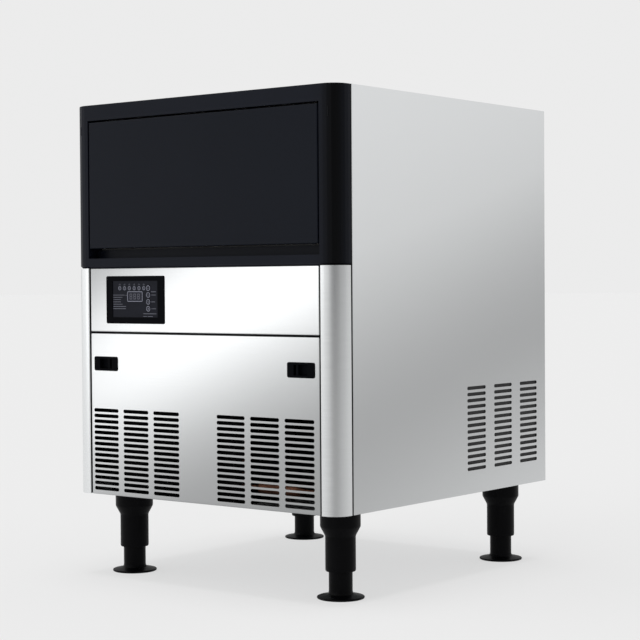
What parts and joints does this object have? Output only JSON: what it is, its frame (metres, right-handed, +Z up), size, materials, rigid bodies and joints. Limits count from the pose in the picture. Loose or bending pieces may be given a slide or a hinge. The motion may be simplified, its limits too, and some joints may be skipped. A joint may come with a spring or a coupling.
{
  "type": "ice maker",
  "caption": "Under-counter cube-ice maker: steel cabinet on adjustable legs, lift-up door over an ice bin, slotted front panel, and the ice-making parts inside.",
  "frame": {"origin": "on the floor, under the middle of the cabinet's footprint", "axes": "+Z up, +X towards the machine's right side as its user sees it, and the front with the door faces -Y"},
  "size_m": [0.61, 0.655, 0.858],
  "materials": {
    "aluminium": "plain fins and pressed blades",
    "black_enamel": "black enamel",
    "black_plastic": "moulded, satin",
    "blue_plastic": "moulded, satin",
    "brushed_steel": "brushed stainless sheet",
    "clear_hose": "milky silicone",
    "copper": "drawn copper tube",
    "display_glass": "dark, glossy",
    "door_plastic": "fine-grained slate black",
    "dull_steel": "galvanised sheet and plain steel",
    "foam": "foamed in place, matt",
    "grey_plastic": "moulded, satin",
    "head_plastic": "fine-grained slate black",
    "leg_plastic": "moulded, near black",
    "seal_rubber": "soft, matt",
    "tinned_copper": "tin-plated copper, satin",
    "white_plastic": "food-safe white, satin"
  },
  "bodies": {
    "cabinet": {"base_pan": "dull_steel", "bin_drain": "grey_plastic", "bin_insulation": "foam", "bin_liner": "white_plastic", "compressor": "black_enamel", "condenser_coil": "aluminium", "control_box": "grey_plastic", "control_fascia": "brushed_steel", "discharge_line": "copper", "display_bezel": "black_plastic", "display_window": "display_glass", "evaporator_coil": "copper", "evaporator_plate": "tinned_copper", "fan_motor": "dull_steel", "fan_shroud": "black_plastic", "filter_drier": "copper", "float_valve": "blue_plastic", "front_left_leg_sleeve": "leg_plastic", "front_right_leg_sleeve": "leg_plastic", "head_frame": "head_plastic", "left_front_post": "brushed_steel", "left_hinge_pin": "dull_steel", "left_latch_housing": "black_plastic", "left_side_panel": "brushed_steel", "lower_front_panel": "brushed_steel", "machine_deck": "black_enamel", "power_inlet": "black_plastic", "pump_body": "black_plastic", "rear_left_leg_sleeve": "leg_plastic", "rear_panel": "dull_steel", "rear_right_leg_sleeve": "leg_plastic", "right_front_post": "brushed_steel", "right_hinge_pin": "dull_steel", "right_latch_housing": "black_plastic", "right_side_panel": "brushed_steel", "suction_line": "copper", "supply_hose": "clear_hose", "top_insulation": "foam", "top_panel": "brushed_steel", "water_distributor": "white_plastic", "water_inlet_valve": "blue_plastic", "water_trough": "white_plastic"},
    "door": {"door_skin": "door_plastic", "door_insulation": "foam", "door_inner_panel": "white_plastic", "door_gasket": "seal_rubber"},
    "curtain": {"water_curtain": "white_plastic"},
    "impeller": {"pump_impeller": "grey_plastic"},
    "fan": {"fan_blade": "aluminium"},
    "float": {"float_arm": "grey_plastic"},
    "left_latch": {"left_latch_slider": "black_plastic"},
    "right_latch": {"right_latch_slider": "black_plastic"},
    "button_1": {"button_1": "grey_plastic"},
    "button_2": {"button_2": "grey_plastic"},
    "button_3": {"button_3": "grey_plastic"},
    "button_4": {"button_4": "grey_plastic"},
    "front_left_foot": {"front_left_leg_foot": "leg_plastic"},
    "front_right_foot": {"front_right_leg_foot": "leg_plastic"},
    "rear_left_foot": {"rear_left_leg_foot": "leg_plastic"},
    "rear_right_foot": {"rear_right_leg_foot": "leg_plastic"}
  },
  "joints": [
    {"name": "door_hinge", "type": "hinge", "parent": "cabinet", "child": "door", "pos_m": [0, -0.3195, 0.812], "axis": [-1, 0, 0], "range_deg": [0, 100], "stiffness_Nm_per_rad": 0.2, "springref_deg": -80.21},
    {"name": "curtain_swing", "type": "hinge", "parent": "cabinet", "child": "curtain", "pos_m": [0, 0.131, 0.8086], "axis": [-1, 0, 0], "range_deg": [0, 35]},
    {"name": "pump_spin", "type": "hinge", "parent": "cabinet", "child": "impeller", "pos_m": [0.235, 0.166, 0.6373], "axis": [0, 0, 1], "continuous": true},
    {"name": "fan_spin", "type": "hinge", "parent": "cabinet", "child": "fan", "pos_m": [-0.085, -0.2242, 0.2543], "axis": [0, 1, 0], "continuous": true},
    {"name": "float_swing", "type": "hinge", "parent": "cabinet", "child": "float", "pos_m": [-0.2517, 0.166, 0.6831], "axis": [0, -1, 0], "range_deg": [0, 25]},
    {"name": "left_latch_slide", "type": "slide", "parent": "cabinet", "child": "left_latch", "axis": [1, 0, 0], "range_m": [0, 0.004], "stiffness_N_per_m": 300, "springref_m": -0.001},
    {"name": "right_latch_slide", "type": "slide", "parent": "cabinet", "child": "right_latch", "axis": [-1, 0, 0], "range_m": [0, 0.004], "stiffness_N_per_m": 300, "springref_m": -0.001},
    {"name": "button_1_press", "type": "slide", "parent": "cabinet", "child": "button_1", "axis": [0, 1, 0], "range_m": [0, 0.0007], "stiffness_N_per_m": 150, "springref_m": -0.001},
    {"name": "button_2_press", "type": "slide", "parent": "cabinet", "child": "button_2", "axis": [0, 1, 0], "range_m": [0, 0.0007], "stiffness_N_per_m": 150, "springref_m": -0.001},
    {"name": "button_3_press", "type": "slide", "parent": "cabinet", "child": "button_3", "axis": [0, 1, 0], "range_m": [0, 0.0007], "stiffness_N_per_m": 150, "springref_m": -0.001},
    {"name": "button_4_press", "type": "slide", "parent": "cabinet", "child": "button_4", "axis": [0, 1, 0], "range_m": [0, 0.0007], "stiffness_N_per_m": 150, "springref_m": -0.001},
    {"name": "front_left_foot_height", "type": "slide", "parent": "cabinet", "child": "front_left_foot", "axis": [0, 0, -1], "range_m": [-0.03, 0.012]},
    {"name": "front_right_foot_height", "type": "slide", "parent": "cabinet", "child": "front_right_foot", "axis": [0, 0, -1], "range_m": [-0.03, 0.012]},
    {"name": "rear_left_foot_height", "type": "slide", "parent": "cabinet", "child": "rear_left_foot", "axis": [0, 0, -1], "range_m": [-0.03, 0.012]},
    {"name": "rear_right_foot_height", "type": "slide", "parent": "cabinet", "child": "rear_right_foot", "axis": [0, 0, -1], "range_m": [-0.03, 0.012]}
  ]
}
